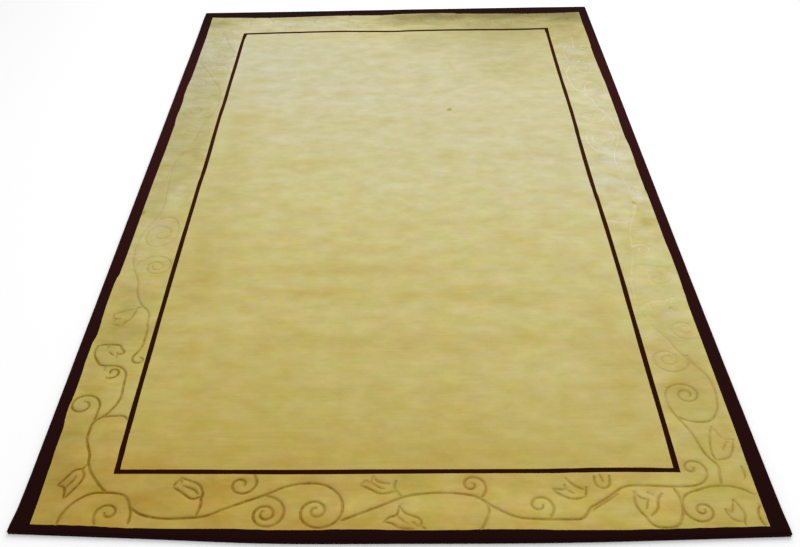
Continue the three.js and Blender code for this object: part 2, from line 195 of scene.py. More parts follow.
# One half of the border; the other is this one turned end for end. A station is (x, y, heading), where 0 is
# along +X and 90 along +Y, a mark (x, y), and a volute (1 left or -1 right, first radius, last radius, turn).
# A line that names no cut is a flower's.
lines = [
    {"name": "left corner arch", "cut": "branch",
     "stations": [(-663, -1222, 88), (-657, -1188, 66), (-620, -1147, 32), (-590, -1141, 0),
                  (-553, -1144, -12), (-526, -1178, -68), (-522, -1220, -91)]},
    {"name": "left corner curl", "cut": "branch",
     "stations": [(-587, -1221, 118), (-593, -1194, 85)], "volute": (-1, 26, 7, 370)},
    {"name": "near vine into the great volute", "cut": "vine",
     "stations": [(-525, -1178, -42), (-487, -1200, -14), (-388, -1202, 4), (-331, -1179, 25),
                  (-250, -1143, 26), (-214, -1125, 14), (-166, -1118, 0)], "volute": (-1, 71, 7, 746)},
    {"name": "second volute", "cut": "branch",
     "stations": [(-262, -1149, 12), (-250, -1151, -12)], "volute": (-1, 44, 9, 668)},
    {"name": "near curl", "cut": "branch",
     "stations": [(-285, -1097, -76), (-279, -1116, -94)], "volute": (-1, 32, 8, 401)},
    {"name": "near vine into the corner curl", "cut": "vine",
     "stations": [(-104, -1211, 26), (-20, -1172, 25), (18, -1154, 20), (66, -1144, 8), (106, -1143, -3),
                  (155, -1149, -12), (182, -1166, -43), (216, -1190, -33), (261, -1206, -3), (358, -1208, 2),
                  (383, -1184, 60), (402, -1170, 34), (440, -1142, 42), (462, -1128, 18), (500, -1126, 0),
                  (572, -1128, 2), (610, -1123, 23)], "volute": (1, 42, 5, 444)},
    {"name": "second line of the vine", "cut": "fold",
     "stations": [(388, -1190, 62), (406, -1174, 34), (444, -1146, 42)]},
    {"name": "curl on the vine", "cut": "branch",
     "stations": [(163, -1157, 28), (172, -1156, 39)], "volute": (1, 36, 5, 499)},
    {"name": "tendril to the near edge", "cut": "branch",
     "stations": [(180, -1166, -48), (187, -1186, -90), (178, -1214, -108), (167, -1233, -124)]},
    {"name": "curl over the vine", "cut": "branch",
     "stations": [(303, -1207, 30), (308, -1198, 54)], "volute": (1, 32, 7, 411)},
    {"name": "loop at the inner line", "cut": "branch",
     "stations": [(405, -1100, -95), (404, -1117, -85), (420, -1132, 0), (434, -1115, 84),
                  (435, -1099, 90)]},
    {"name": "stroke in the loop", "cut": "fold", "stations": [(417, -1099, -72), (421, -1118, -86)]},
    {"name": "stem of the open flower", "cut": "branch",
     "stations": [(487, -1200, -65), (498, -1220, -50), (520, -1227, -2), (547, -1222, 35), (559, -1202, 65),
                  (565, -1166, 92), (560, -1140, 108), (556, -1127, 100)]},
    {"name": "right corner arch and volute", "cut": "branch",
     "stations": [(713, -1149, 150), (690, -1134, 158), (655, -1127, 180), (612, -1134, 203),
                  (574, -1153, 230)], "volute": (1, 43, 5, 606)},
    {"name": "tick in the right corner", "cut": "branch",
     "stations": [(714, -1176, 235), (706, -1199, 270), (712, -1224, 300)]},
    {"name": "dash by the right edge", "cut": "fold",
     "stations": [(706, -1076, -80), (707, -1100, -95), (701, -1113, -125)]},
    {"name": "right stem and great volute", "cut": "vine",
     "stations": [(654, -1126, 86), (657, -1100, 82), (660, -1080, 90), (648, -1056, 118), (634, -1010, 102),
                  (622, -970, 112), (606, -934, 112), (597, -895, 92), (602, -860, 66),
                  (632, -841, 10)], "volute": (-1, 33, 9, 530)},
    {"name": "right vine", "cut": "vine",
     "stations": [(608, -936, -42), (645, -954, -4), (672, -952, 20), (696, -925, 60), (706, -890, 82),
                  (709, -850, 92), (705, -820, 104), (690, -788, 120), (672, -757, 117), (657, -730, 114),
                  (648, -705, 108), (612, -630, 111), (598, -540, 92), (614, -410, 76), (634, -290, 84),
                  (656, -198, 70), (676, -118, 76), (684, -40, 88)]},
    {"name": "right ringed volute", "cut": "branch",
     "stations": [(674, -748, -66), (678, -760, -98)], "volute": (-1, 49, 10, 691)},
    {"name": "right edge volute", "cut": "branch",
     "stations": [(717, -689, 186), (704, -691, 194)], "volute": (-1, 38, 9, 613)},
    {"name": "stem of the right bud", "cut": "fold", "stations": [(602, -588, 74), (622, -560, 12)]},
    {"name": "right middle volute", "cut": "branch",
     "stations": [(614, -418, 52), (664, -411, -2)], "volute": (-1, 46, 9, 620)},
    {"name": "right small curl", "cut": "fold", "stations": [(628, -330, 62)], "volute": (-1, 28, 8, 420)},
    {"name": "right dash", "cut": "fold",
     "stations": [(655, -200, 236), (640, -212, 196), (618, -213, 172), (600, -205, 150),
                  (587, -197, 144)]},
    {"name": "left stem up to the loop", "cut": "vine",
     "stations": [(-582, -1141, 140), (-616, -1104, 128), (-638, -1066, 112), (-641, -1046, 98),
                  (-650, -1020, 111), (-659, -995, 100), (-660, -972, 88), (-655, -945, 56),
                  (-633, -922, 60), (-614, -872, 84), (-616, -836, 93), (-618, -802, 93), (-632, -777, 138),
                  (-655, -769, 178), (-682, -767, 168), (-697, -752, 125), (-710, -722, 96),
                  (-706, -699, 58)]},
    {"name": "left tendril to the inner line", "cut": "branch",
     "stations": [(-640, -933, 30), (-618, -929, 0), (-600, -928, -4), (-582, -943, -62)]},
    {"name": "left edge volute", "cut": "branch",
     "stations": [(-657, -948, 84), (-655, -905, 86)], "volute": (1, 40, 12, 451)},
    {"name": "left small curl", "cut": "branch",
     "stations": [(-664, -809, -4), (-657, -810, -8)], "volute": (1, 20, 6, 333)},
    {"name": "left stem down to the hook", "cut": "branch",
     "stations": [(-632, -552, -50), (-612, -576, -66), (-604, -625, -76), (-600, -655, -88),
                  (-600, -692, -92), (-606, -718, -110), (-615, -740, -102)], "volute": (1, 19, 5, 333)},
    {"name": "left vine across the middle to the inner line", "cut": "branch",
     "stations": [(-632, -552, 124), (-654, -505, 106), (-660, -476, 96), (-690, -388, 106),
                  (-702, -290, 90), (-682, -192, 70), (-664, -96, 92), (-677, 112, 90), (-661, 186, 60),
                  (-640, 204, 20), (-616, 206, -6), (-587, 197, -36)]},
    {"name": "left lower volute", "cut": "branch",
     "stations": [(-687, -402, 80), (-634, -346, 0)], "volute": (-1, 46, 10, 640)},
    {"name": "left upper volute", "cut": "branch",
     "stations": [(-661, -172, 0), (-626, -166, -36), (-603, -205, -74), (-602, -262, -96),
                  (-650, -302, 178), (-684, -258, 92), (-652, -207, -2)], "volute": (-1, 40, 8, 400)},
    {"name": "left corner bud, left side",
     "marks": [(-639, -1064), (-647, -1078), (-657, -1080), (-666, -1086), (-678, -1107), (-688, -1122)]},
    {"name": "left corner bud, right side",
     "marks": [(-649, -1080), (-641, -1091), (-640, -1104), (-646, -1121), (-656, -1140), (-667, -1157)]},
    {"name": "left corner bud, mouth",
     "marks": [(-688, -1122), (-672, -1129), (-667, -1157)]},
    {"name": "left corner bud, fold", "cut": "fold",
     "marks": [(-655, -1097), (-661, -1113), (-671, -1129)]},
    {"name": "second bud, stem and upper side",
     "marks": [(-391, -1201), (-385, -1173), (-387, -1155), (-385, -1143), (-397, -1120), (-426, -1107),
               (-436, -1103)]},
    {"name": "second bud, lower side",
     "marks": [(-387, -1150), (-405, -1157), (-428, -1141), (-448, -1127)]},
    {"name": "second bud, mouth",
     "marks": [(-448, -1127), (-445, -1117), (-434, -1104), (-433, -1120)]},
    {"name": "second bud, fold", "cut": "fold", "marks": [(-429, -1124), (-404, -1134), (-394, -1147)]},
    {"name": "middle bud, stem and lower side",
     "marks": [(18, -1154), (4, -1138), (-15, -1144), (-31, -1144), (-46, -1134), (-68, -1123)]},
    {"name": "middle bud, upper side", "marks": [(5, -1111), (1, -1124), (3, -1137)]},
    {"name": "middle bud, petal",
     "marks": [(-7, -1121), (-31, -1115), (-38, -1107), (-42, -1100)]},
    {"name": "middle bud, mouth",
     "marks": [(-68, -1123), (-57, -1112), (-47, -1117), (-42, -1100)]},
    {"name": "middle bud, fold", "cut": "fold", "marks": [(-46, -1118), (-26, -1131), (-18, -1133)]},
    {"name": "near edge bud, upper side",
     "marks": [(11, -1176), (23, -1193), (37, -1199), (49, -1205), (54, -1216), (48, -1226), (38, -1215)]},
    {"name": "near edge bud, base", "marks": [(53, -1222), (62, -1231)]},
    {"name": "near edge bud, lower side",
     "marks": [(-20, -1213), (-4, -1217), (12, -1228), (39, -1231)]},
    {"name": "near edge bud, mouth",
     "marks": [(-20, -1213), (-7, -1201), (5, -1197), (11, -1176)]},
    {"name": "near edge bud, fold", "cut": "fold", "marks": [(5, -1197), (18, -1211), (25, -1217)]},
    {"name": "side flower, upper petal",
     "marks": [(346, -1105), (361, -1124), (380, -1136)]},
    {"name": "side flower, back", "marks": [(385, -1128), (382, -1146), (380, -1154)]},
    {"name": "side flower, lower petal",
     "marks": [(380, -1154), (363, -1158), (347, -1157), (325, -1143), (317, -1134)]},
    {"name": "side flower, mouth",
     "marks": [(317, -1134), (334, -1135), (345, -1136), (342, -1122)]},
    {"name": "side flower, fold", "cut": "fold", "marks": [(345, -1136), (359, -1146)]},
    {"name": "open flower, left side",
     "marks": [(478, -1142), (475, -1171), (484, -1195), (492, -1204)]},
    {"name": "open flower, left mouth",
     "marks": [(478, -1142), (486, -1154), (501, -1161), (494, -1184)]},
    {"name": "open flower, middle petal", "cut": "fold", "marks": [(502, -1143), (515, -1150)]},
    {"name": "open flower, right side",
     "marks": [(532, -1145), (522, -1158), (517, -1180), (509, -1191), (498, -1201)]},
    {"name": "right corner bud, right side",
     "marks": [(667, -1161), (675, -1178), (680, -1196), (674, -1215), (675, -1227)]},
    {"name": "right corner bud, left side",
     "marks": [(645, -1184), (648, -1197), (656, -1210), (674, -1215)]},
    {"name": "right corner bud, mouth",
     "marks": [(645, -1184), (656, -1194), (661, -1180), (667, -1161)]},
    {"name": "right tall bud, left side",
     "marks": [(662, -1064), (657, -1048), (657, -1030), (663, -998), (673, -968)]},
    {"name": "right tall bud, mouth", "cut": "fold",
     "marks": [(673, -968), (682, -988), (689, -1006), (709, -1004)]},
    {"name": "right tall bud, right side",
     "marks": [(709, -1004), (703, -1027), (697, -1040), (687, -1054), (662, -1060)]},
    {"name": "right tall bud, fold", "cut": "fold", "marks": [(697, -1010), (687, -1022), (680, -1036)]},
    {"name": "right bud, upper side", "cut": "fold",
     "marks": [(622, -560), (640, -549), (655, -551), (672, -547), (692, -535)]},
    {"name": "right bud, mouth",
     "marks": [(692, -535), (684, -548), (676, -562), (688, -566)]},
    {"name": "right bud, lower side", "cut": "fold",
     "marks": [(622, -560), (630, -575), (650, -590), (680, -591), (672, -580)]},
    {"name": "left loop bud, mouth",
     "marks": [(-706, -699), (-690, -695), (-665, -696), (-655, -698), (-648, -710), (-640, -720),
               (-642, -727), (-652, -729), (-657, -723)]},
    {"name": "left loop bud, petal", "marks": [(-680, -695), (-683, -711)]},
    {"name": "left loop bud, fold", "marks": [(-676, -721), (-661, -736)]},
    {"name": "left loop bud, short fold", "cut": "fold", "marks": [(-654, -730), (-655, -746)]},
    {"name": "dash under the left loop", "cut": "fold", "marks": [(-673, -772), (-672, -787)]},
    {"name": "left bud, right side",
     "marks": [(-630, -555), (-643, -562), (-645, -582), (-651, -603), (-660, -612), (-668, -630)]},
    {"name": "left bud, left side", "cut": "fold",
     "marks": [(-643, -562), (-662, -569), (-680, -576), (-694, -583)]},
    {"name": "left bud, mouth",
     "marks": [(-694, -583), (-697, -596), (-687, -602), (-676, -600)]},
    {"name": "left bud, second mouth", "cut": "fold", "marks": [(-687, -602), (-694, -620), (-668, -630)]},
]


def heading(degrees):
    return Vector((math.cos(math.radians(degrees)), math.sin(math.radians(degrees)), 0))


def stemPoints(stations):
    points = [Vector((*stations[0][:2], 0))]
    for (ax, ay, a), (bx, by, b) in zip(stations, stations[1:]):
        start, end = Vector((ax, ay, 0)), Vector((bx, by, 0))
        reach = (end - start).length * carving["handleShare"]
        turn = abs((b - a + 180) % 360 - 180)
        count = math.ceil(max((end - start).length / carving["step"], turn / carving["turnStep"])) + 1
        handles = start + heading(a) * reach, end - heading(b) * reach
        points += interpolate_bezier(start, *handles, end, count)[1:]
    return points


def volutePoints(start, way, hand, first, last, turn):
    points, swung = [start], 0.0
    while swung < turn:
        here = first * (last / first) ** (swung / turn)
        step = min(carving["turnStep"], math.degrees(carving["step"] / here))
        chord = 2 * here * math.sin(math.radians(step / 2))
        points.append(points[-1] + heading(way + hand * (swung + step / 2)) * chord)
        swung += step
    return points[1:]


def markPoints(marks):  # a curve that keeps its ends and passes through every mark
    marks = [Vector((*mark, 0)) for mark in marks]
    points = [marks[0]]
    for i in range(len(marks) - 1):
        a, b = marks[i], marks[i + 1]
        before, after = marks[max(i - 1, 0)], marks[min(i + 2, len(marks) - 1)]
        count = math.ceil((b - a).length / carving["markStep"]) + 1
        points += interpolate_bezier(a, a + (b - before) / 6, b - (after - a) / 6, b, count)[1:]
    return points


def fromCorners(marks):  # the knife is lifted at a sharp corner and set down anew
    runs = [[marks[0]]]
    for a, b, c in zip(marks, marks[1:], marks[2:]):
        runs[-1].append(b)
        turned = math.atan2(c[1] - b[1], c[0] - b[0]) - math.atan2(b[1] - a[1], b[0] - a[0])
        if abs(math.remainder(turned, 2 * math.pi)) > math.radians(carving["corner"]):
            runs.append([b])
    runs[-1].append(marks[-1])
    return runs


def strokePaths(line):
    if "marks" in line:
        return [markPoints(run) for run in fromCorners(line["marks"])]
    points = stemPoints(line["stations"])
    if "volute" in line:
        points += volutePoints(points[-1], line["stations"][-1][2], *line["volute"])
    return [points]


def pressAt(point):  # the far part of the border is worn, its lines nearly closed
    right = clamped(point.x, *carving["pressSides"])
    left = onCurve(carving["pressLeft"], point.y)
    return (1 - right) * left + right * onCurve(carving["pressRight"], point.y)


def cutterMesh(cut, points):  # the knife's closed path: its section drawn along the points
    depth, half = carving["depth"][cut], carving["halfWidth"]
    tipPress, gain = carving["taperPress"]
    right = [(a * half, u) for a, u in carving["section"]]
    above = [(right[-1][0], carving["above"] / depth), (-right[-1][0], carving["above"] / depth)]
    section = right + above + [(-a, u) for a, u in reversed(right[1:])]
    runs = [0.0]
    for a, b in zip(points, points[1:]):
        runs.append(runs[-1] + (b - a).length)
    bm = bmesh.new()
    face = None
    for i, point in enumerate(points):
        way = (points[min(i + 1, len(points) - 1)] - points[max(i - 1, 0)]).normalized()
        left = Vector((-way.y, way.x, 0))
        end = min(runs[i], runs[-1] - runs[i])
        size = pressAt(point) * (tipPress + gain * min(end / carving["taper"], 1.0))
        seed = point / carving["pressWaverSize"] + Vector((0, 0, 5))
        size *= 1.0 + carving["pressWaver"] * noise.noise(seed)
        place = point + left * carving["waver"] * noise.noise(point / carving["waverSize"])
        ring = []
        for a, u in section:
            height = rug["thick"] + u * depth * (size if u < 0 else 1)
            ring.append((place + left * -a * math.sqrt(size) + Vector((0, 0, height))) * mm)
        if face is None:
            first = [bm.verts.new(p) for p in ring]
            face = bm.faces.new(first)
        else:
            face = bmesh.ops.extrude_discrete_faces(bm, faces=[face])["faces"][0]
            for vert, p in zip(face.verts, ring):
                vert.co = p
    bm.faces.new(first)
    bmesh.ops.recalc_face_normals(bm, faces=bm.faces)
    mesh = bpy.data.meshes.new("knife")
    bm.to_mesh(mesh)
    bm.free()
    return mesh


def carveRug():
    bm = makePile()
    mesh = bpy.data.meshes.new("rugPile")
    bm.to_mesh(mesh)
    bm.free()
    pile = bpy.data.objects.new("rugPile", mesh)
    scene.collection.objects.link(pile)
    print("pile laid,", len(mesh.polygons), "faces")
    knives = bpy.data.collections.new("knives")
    scene.collection.children.link(knives)
    for line in lines:
        for points in strokePaths(line):
            for path in (points, [Vector((-p.x, -p.y, 0)) for p in points]):
                cutter = cutterMesh(line.get("cut", "flower"), path)
                knives.objects.link(bpy.data.objects.new(line["name"], cutter))
    carve = pile.modifiers.new("carve", "BOOLEAN")
    carve.solver = "MANIFOLD"
    carve.operation = "DIFFERENCE"
    carve.operand_type = "COLLECTION"
    carve.collection = knives
    bpy.context.view_layer.update()
    carved = bpy.data.meshes.new_from_object(pile.evaluated_get(bpy.context.evaluated_depsgraph_get()))
    pile.modifiers.clear()
    pile.data = carved
    for knife in list(knives.objects):
        bpy.data.objects.remove(knife, do_unlink=True)
    bpy.data.collections.remove(knives)
    print("pile carved,", len(carved.polygons), "faces")
    return pile


pile = carveRug()


def settle(pile):  # the pile swells and sinks a little, as clipped wool does
    across, along = rug["swellSize"]
    for vert in pile.data.vertices:
        place = vert.co / mm
        lift = clamped(place.z, *rug["swellFrom"])
        seed = Vector((place.x / across, place.y / along, 3.0))
        vert.co.z += lift * rug["swell"] * mm * noise.noise(seed)
    for face in pile.data.polygons:
        face.use_smooth = True


settle(pile)


def addNode(tree, kind, values=None, **settings):  # values: sockets to link, or numbers to set, by input
    node = tree.nodes.new(kind)
    for key, value in settings.items():
        setattr(node, key, value)
    for key, value in (values or {}).items():
        if isinstance(value, bpy.types.NodeSocket):
            tree.links.new(value, node.inputs[key])
        else:
            node.inputs[key].default_value = value
    return node


def calc(tree, operation, *values, clamp=False):
    node = addNode(tree, "ShaderNodeMath", dict(enumerate(values)), operation=operation, use_clamp=clamp)
    return node.outputs[0]


def vectorCalc(tree, operation, a, b):
    return addNode(tree, "ShaderNodeVectorMath", {0: a, 1: b}, operation=operation).outputs[0]


def scaleVector(tree, vector, scale):
    return addNode(tree, "ShaderNodeVectorMath", {0: vector, "Scale": scale}, operation="SCALE").outputs[0]


def lengthOf(tree, vector):
    return addNode(tree, "ShaderNodeVectorMath", {0: vector}, operation="LENGTH").outputs["Value"]


def partsOf(tree, vector):
    return addNode(tree, "ShaderNodeSeparateXYZ", {0: vector}).outputs


def cloudOf(tree, vector, scale, detail, roughness=0.5):  # a noise's three channels, about nought
    cloud = addNode(tree, "ShaderNodeTexNoise", {"Vector": vector, "Scale": scale, "Detail": detail,
                                                 "Roughness": roughness}).outputs["Color"]
    return vectorCalc(tree, "SUBTRACT", cloud, (0.5, 0.5, 0.5))


def ramp(tree, value, start, end, low=0.0, high=1.0, smooth=True):
    node = addNode(tree, "ShaderNodeMapRange", {0: value, 1: start, 2: end, 3: low, 4: high},
                   interpolation_type="SMOOTHSTEP" if smooth else "LINEAR")
    return node.outputs[0]


def curve(tree, value, table, spread=1.0):  # a short table of (place, height), with heights within spread
    low, high = table[0][0], table[-1][0]
    node = addNode(tree, "ShaderNodeFloatCurve", {1: ramp(tree, value, low, high, smooth=False)})
    points = node.mapping.curves[0].points
    while len(points) < len(table):
        points.new(0.5, 0.5)
    for point, (place, height) in zip(points, table):
        point.location = ((place - low) / (high - low), 0.5 + height / spread / 2)
    node.mapping.update()
    return calc(tree, "MULTIPLY_ADD", node.outputs[0], 2 * spread, -spread)


def blendColour(tree, share, a, b):
    a, b = (value if isinstance(value, bpy.types.NodeSocket) else (*value, 1) for value in (a, b))
    return addNode(tree, "ShaderNodeMix", {0: share, 6: a, 7: b}, data_type="RGBA").outputs[2]


def addGroup(name, inputs, outputs):
    tree = bpy.data.node_groups.new(name, "ShaderNodeTree")
    for label, kind, value in inputs:
        socket = tree.interface.new_socket(label, in_out="INPUT", socket_type="NodeSocket" + kind)
        if value is not None:
            socket.default_value = value
    for label, kind in outputs:
        tree.interface.new_socket(label, in_out="OUTPUT", socket_type="NodeSocket" + kind)
    return tree, tree.nodes.new("NodeGroupInput").outputs, tree.nodes.new("NodeGroupOutput").inputs


def useGroup(tree, group, values):
    return addNode(tree, "ShaderNodeGroup", values, node_tree=group).outputs


# Knots stand in rows, so the dark wool's edges step from knot to knot
knots = {
    "pitch": (1.6, 1.6, 40.0),  # millimetres across, along and up
    "stray": 1.5,  # how far the rows waver
    "straySize": 4.0,
}


def knotGroup():
    tree, given, out = addGroup("knotRows", [("Place", "Vector", None)],
                                [("Knot", "Vector"), ("Chance", "Float")])
    cloud = cloudOf(tree, given["Place"], 1 / knots["straySize"], 2.0)
    stray = vectorCalc(tree, "MULTIPLY", cloud, (knots["stray"], knots["stray"], 0))
    moved = vectorCalc(tree, "ADD", given["Place"], stray)
    knot = vectorCalc(tree, "ADD", vectorCalc(tree, "SNAP", moved, knots["pitch"]),
                      tuple(pitch / 2 for pitch in knots["pitch"]))
    chance = addNode(tree, "ShaderNodeTexWhiteNoise", {"Vector": knot})
    tree.links.new(knot, out["Knot"])
    tree.links.new(chance.outputs["Value"], out["Chance"])
    return tree


# Where the dark wool begins: nominal places, and how each edge strays from them outwards
plan = {
    "band": {"left": 720, "right": 720, "near": 1230, "far": 1221},
    "line": {"left": 582, "right": 582, "near": 1095, "far": 1074},
    "lineWidth": (11.8, 14.2),  # at the far end it is wider
    "widerFrom": (1020, 1050),
    "mostStray": 12,  # the tables stay within it
    "bandStray": {
        "left": [(-1260, -5), (-1120, -4), (-1030, -2), (-960, -1), (-905, 3), (-860, 1), (-740, 3),
                 (-690, 3), (-660, -1), (-590, 2), (-500, 3), (-440, 2), (-415, -2), (0, -2), (360, -3),
                 (420, 0), (500, -2), (600, 2), (720, -2), (900, -2), (1130, 0), (1260, 5)],
        "right": [(-1260, -1), (-1130, -1.5), (-980, -0.5), (-600, 0), (-420, 3), (-240, 1.5), (-120, 2),
                  (0, -0.5), (180, 1.5), (260, -1.5), (480, 0.5), (740, -2.5), (840, -4), (960, -1),
                  (1130, -1), (1260, 5)],
        "near": [(-750, -11), (-660, -9), (-600, -6.5), (-480, -0.5), (-330, 0.5), (-180, 4), (-90, 1.8),
                 (60, 4.3), (240, 1.7), (360, 4), (500, 2), (620, -2), (750, -5)],
        "far": [(-750, 11), (-680, 3), (-600, -1.5), (-540, -5), (-480, -6), (-300, 0), (-190, 1.5),
                (-60, -1), (0, 5), (120, 9.5), (180, 9), (260, 2), (340, -3), (450, -7.5), (560, -12),
                (680, -7), (750, -3.5)],
    },
    "lineStray": {
        "left": [(-1090, -3.5), (-960, -0.5), (-780, 1), (-360, 3), (-100, 2), (0, 1.8), (100, -0.2),
                 (420, 0.5), (540, -1.5), (620, -1.2), (840, -2), (960, -2), (1070, -4)],
        "right": [(-1090, -2), (-960, -1), (-700, 0), (-400, 2), (-150, 1), (0, -1.5), (180, -1.5),
                  (400, 1), (500, 0.5), (760, -1.5), (1070, 0)],
        "near": [(-580, -1.5), (-400, -1), (-240, 0.5), (60, 0), (200, -0.5), (300, -0.5), (430, -3),
                 (580, -1.5)],
        "far": [(-580, 0), (-420, 4.5), (-240, 8), (-180, 7), (-120, 4), (-60, 1.5), (0, -1), (60, 3),
                (160, 3), (300, 1), (420, -2), (580, -0.5)],
    },
}


def outsideOf(tree, place, sizes, strays):  # how far a place lies outside a wavering rectangle
    x, y = partsOf(tree, place)[:2]
    ways = {"left": (x, -1, y), "right": (x, 1, y), "near": (y, -1, x), "far": (y, 1, x)}
    outside = None
    for side, (across, sign, along) in ways.items():
        gap = calc(tree, "MULTIPLY_ADD", across, sign, -sizes[side])
        gap = calc(tree, "SUBTRACT", gap, curve(tree, along, strays[side], plan["mostStray"]))
        outside = gap if outside is None else calc(tree, "MAXIMUM", outside, gap)
    return outside


def planGroup():
    tree, given, out = addGroup("darkWool", [("Place", "Vector", None)],
                                [("Band", "Float"), ("Line", "Float"), ("Border", "Float")])
    band = outsideOf(tree, given["Place"], plan["band"], plan["bandStray"])
    line = outsideOf(tree, given["Place"], plan["line"], plan["lineStray"])
    y = partsOf(tree, given["Place"])["Y"]
    half = ramp(tree, y, *plan["widerFrom"], *(width / 2 for width in plan["lineWidth"]))
    middle = calc(tree, "ABSOLUTE", calc(tree, "ADD", line, half))
    tree.links.new(calc(tree, "GREATER_THAN", band, 0), out["Band"])
    tree.links.new(calc(tree, "LESS_THAN", middle, half), out["Line"])
    tree.links.new(calc(tree, "GREATER_THAN", line, 0), out["Border"])
    return tree


# The wool's colour: dyes from deep gold to pale straw, and where each lies. Its paling from the near end to
# the far end is painted sheen and light, and the paler dyes are dimmed a little as painted shade of the far
# end
wool = {
    # the paler dyes are dimmed a little: painted shade of the far end
    "dyesWithShade": [(0.0, (0.405, 0.275, 0.056)), (0.2, (0.455, 0.355, 0.095)), (0.48, (0.515, 0.440, 0.168)),
             (0.7, (0.535, 0.477, 0.222)), (1.0, (0.528, 0.497, 0.330))],
    # painted sheen and light: the share of pale straw grows from the near end towards the far end
    "paintedSheenAlong": [(-1260, 0.0), (-1110, 0.1), (-980, 0.24), (-800, 0.36), (-600, 0.45), (-430, 0.49),
                  (-280, 0.57), (0, 0.74), (280, 0.81), (560, 0.87), (840, 0.88), (1000, 0.8), (1120, 0.7),
                  (1260, 0.66)],
    "paleRight": [(-1260, 0.08), (-980, 0.09), (-430, 0.1), (280, 0.03), (560, -0.03), (840, -0.1),
                  (1000, -0.14), (1120, -0.16), (1260, -0.14)],
    "rightPlace": 560,  # from the middle line to where paleRight counts in full
    "waver": (140, 60, 0),  # how far the patches and bands stray
    "waverSize": 120,
    # each noise: (size across, size along, detail, shift)
    "wideRows": (420, 42, 3.0, 0.0),
    "thinRows": (150, 9, 2.0, 7.0),
    "rowShade": 0.12,
    "streaks": (60, 5.5, 2.0, 3.0),
    "streakShade": 0.09,
    "knotShade": 0.05,
    "patchCore": 0.15,  # the inner share of a patch that is even
}
mottling = {  # shares of the fine noise, or of the fine and the broad one
    "fine": (66, 44),
    "fineDetail": (3.0, 0.6),
    "broad": (260, 72, 1.5, 5.0),
    "light": (0.36, 0.11),
    "green": 0.12,
    "greener": (0.035, 0.045),
    "blue": 0.62,
    "paler": (0.42, 0.24),
    "border": 1.5,  # how much stronger it is there
    "calm": 0.5,  # what is left of its hues in the far part
    "calmFrom": (-300, 600),
}
# The darker patches at the rim and the far end, the dull ones, the shaded far right and the brown end, far
# right, are partly uneven dye and partly painted shade where the light falls off
patches = [  # (name, x, y, reach across, reach along, paler or deeper, brighter or darker)
    ("pale row below the far line", 0, 615, 1500, 26, 0.05, 0.02),
    ("pale rows in the far half", 0, 505, 1400, 60, 0.05, 0.02),
    ("pale row past the middle", 0, 260, 1300, 35, 0.05, 0.02),
    ("pale stretch on the left", -440, -600, 190, 40, 0.08, 0.02),
    ("gold patch, left", -450, 400, 150, 60, -0.10, -0.02),
    ("gold patch, middle left", -260, 110, 210, 60, -0.12, -0.03),
    ("gold patch, middle right", 130, 110, 120, 50, -0.05, -0.01),
    ("gold row, near middle", -110, -412, 260, 36, -0.10, -0.03),
    ("gold row, near right", 295, -540, 230, 44, -0.10, -0.03),
    ("pale spot", -20, -30, 90, 90, 0.10, 0.03),
    ("pale spot, right", 195, -570, 70, 44, 0.08, 0.02),
    ("smear of olive", 190, 757, 14, 90, -0.12, -0.05),
    ("brown end, far right", 480, 1220, 760, 330, 0.03, -0.24),
    ("shaded far right", 400, 960, 330, 320, -0.01, -0.12),
    ("gold left side", -515, 40, 130, 1000, -0.1, -0.05),
    ("deep row, near", 0, -700, 760, 46, -0.08, 0.0),
    ("deep row, near middle", 0, -510, 760, 38, -0.08, 0.0),
    ("dull left border", -700, 330, 160, 1300, -0.12, -0.17),
    ("pale left border", -680, -270, 110, 340, 0.17, 0.03),
    ("gold by the left line", -612, 430, 52, 640, -0.13, -0.05),
    ("dull left border, near", -660, -620, 90, 280, -0.04, -0.09),
    ("gold right border", 660, -770, 110, 320, -0.14, -0.05),
    ("dull right border, far", 660, 880, 110, 380, 0.0, -0.13),
    ("dull far left corner", -690, 1170, 130, 100, -0.15, -0.22),
    ("dull far edge", 330, 1205, 470, 62, -0.12, -0.22),
    ("brown mark in the far border", 60, 1180, 280, 80, -0.08, -0.2),
    ("dull far right corner", 670, 1180, 150, 95, 0.0, -0.25),
    ("gold side, far right", 420, 690, 220, 150, -0.09, -0.06),
    ("gold side, near right", 505, -720, 110, 330, -0.09, -0.03),
    ("pale worn spot, right", 674, 125, 58, 66, 0.30, 0.09),
    ("pale worn spot by the line", 612, 10, 45, 52, 0.22, 0.06),
    ("pale worn edge, right", 700, -90, 26, 44, 0.25, 0.07),
    ("pale side, far right", 642, 850, 80, 170, 0.12, 0.05),
    ("pale side, right", 663, 406, 60, 120, 0.08, 0.03),
    ("pale worn spot, left", -651, -47, 42, 62, 0.15, 0.05),
    ("brown worn edge, right", 704, -212, 34, 32, -0.18, -0.09),
    ("brown fleck, right", 677, -123, 10, 15, -0.3, -0.22),
    ("brown fleck, left", -702, -134, 15, 19, -0.25, -0.15),
    ("dark fleck", 195, 448, 8, 14, -0.3, -0.42),
    ("pale far border", -300, 1140, 270, 70, 0.18, 0.0),
    ("pale near border", 180, -1180, 700, 80, 0.10, 0.08),
    ("pale near border, right", 500, -1135, 120, 50, 0.12, 0.05),
    ("dull near left border", -705, -1050, 75, 280, -0.02, -0.12),
    ("dull far edge, left", -350, 1207, 340, 50, 0.0, -0.16),
    ("dull far edge, right", 490, 1187, 120, 62, 0.0, -0.09),
    ("dull stretch, far", 95, 950, 130, 130, -0.02, -0.10),
]
